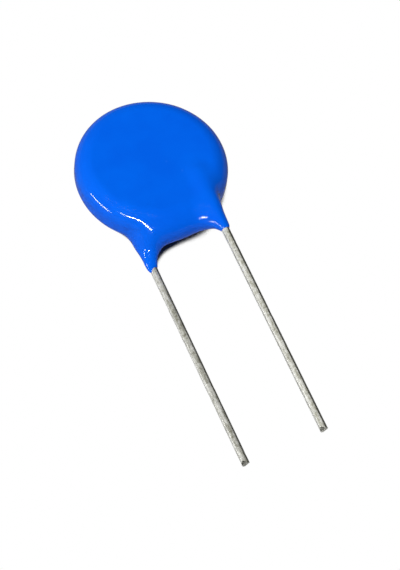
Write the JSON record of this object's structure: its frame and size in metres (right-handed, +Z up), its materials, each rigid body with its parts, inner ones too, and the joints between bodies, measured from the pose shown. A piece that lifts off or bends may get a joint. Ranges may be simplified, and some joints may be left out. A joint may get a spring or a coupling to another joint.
{
  "type": "ceramic disc capacitor",
  "caption": "Round ceramic capacitor dipped in glossy blue epoxy that runs down onto parallel tinned wire leads; it lies flat, ready to be pushed through a circuit board.",
  "frame": {"origin": "Middle of the bounding box, on the surface that the part lies on", "axes": "+X runs across the leads towards the front lead, -Y is the way the leads point, +Z goes up through the front face"},
  "size_m": [0.0156, 0.0424, 0.0052],
  "materials": {
    "epoxy": "Glossy dipped blue epoxy with a few flow marks",
    "tinned_wire": "Dull tin plating, mottled by handling",
    "solder": "Satin solder",
    "silver": "Matt fired silver",
    "ceramic": "Unglazed tan dielectric"
  },
  "bodies": {
    "root": {"ceramic_disc": "ceramic", "front_electrode": "silver", "rear_electrode": "silver", "front_solder": "solder", "rear_solder": "solder", "front_lead": "tinned_wire", "rear_lead": "tinned_wire", "coating": "epoxy"}
  },
  "joints": []
}
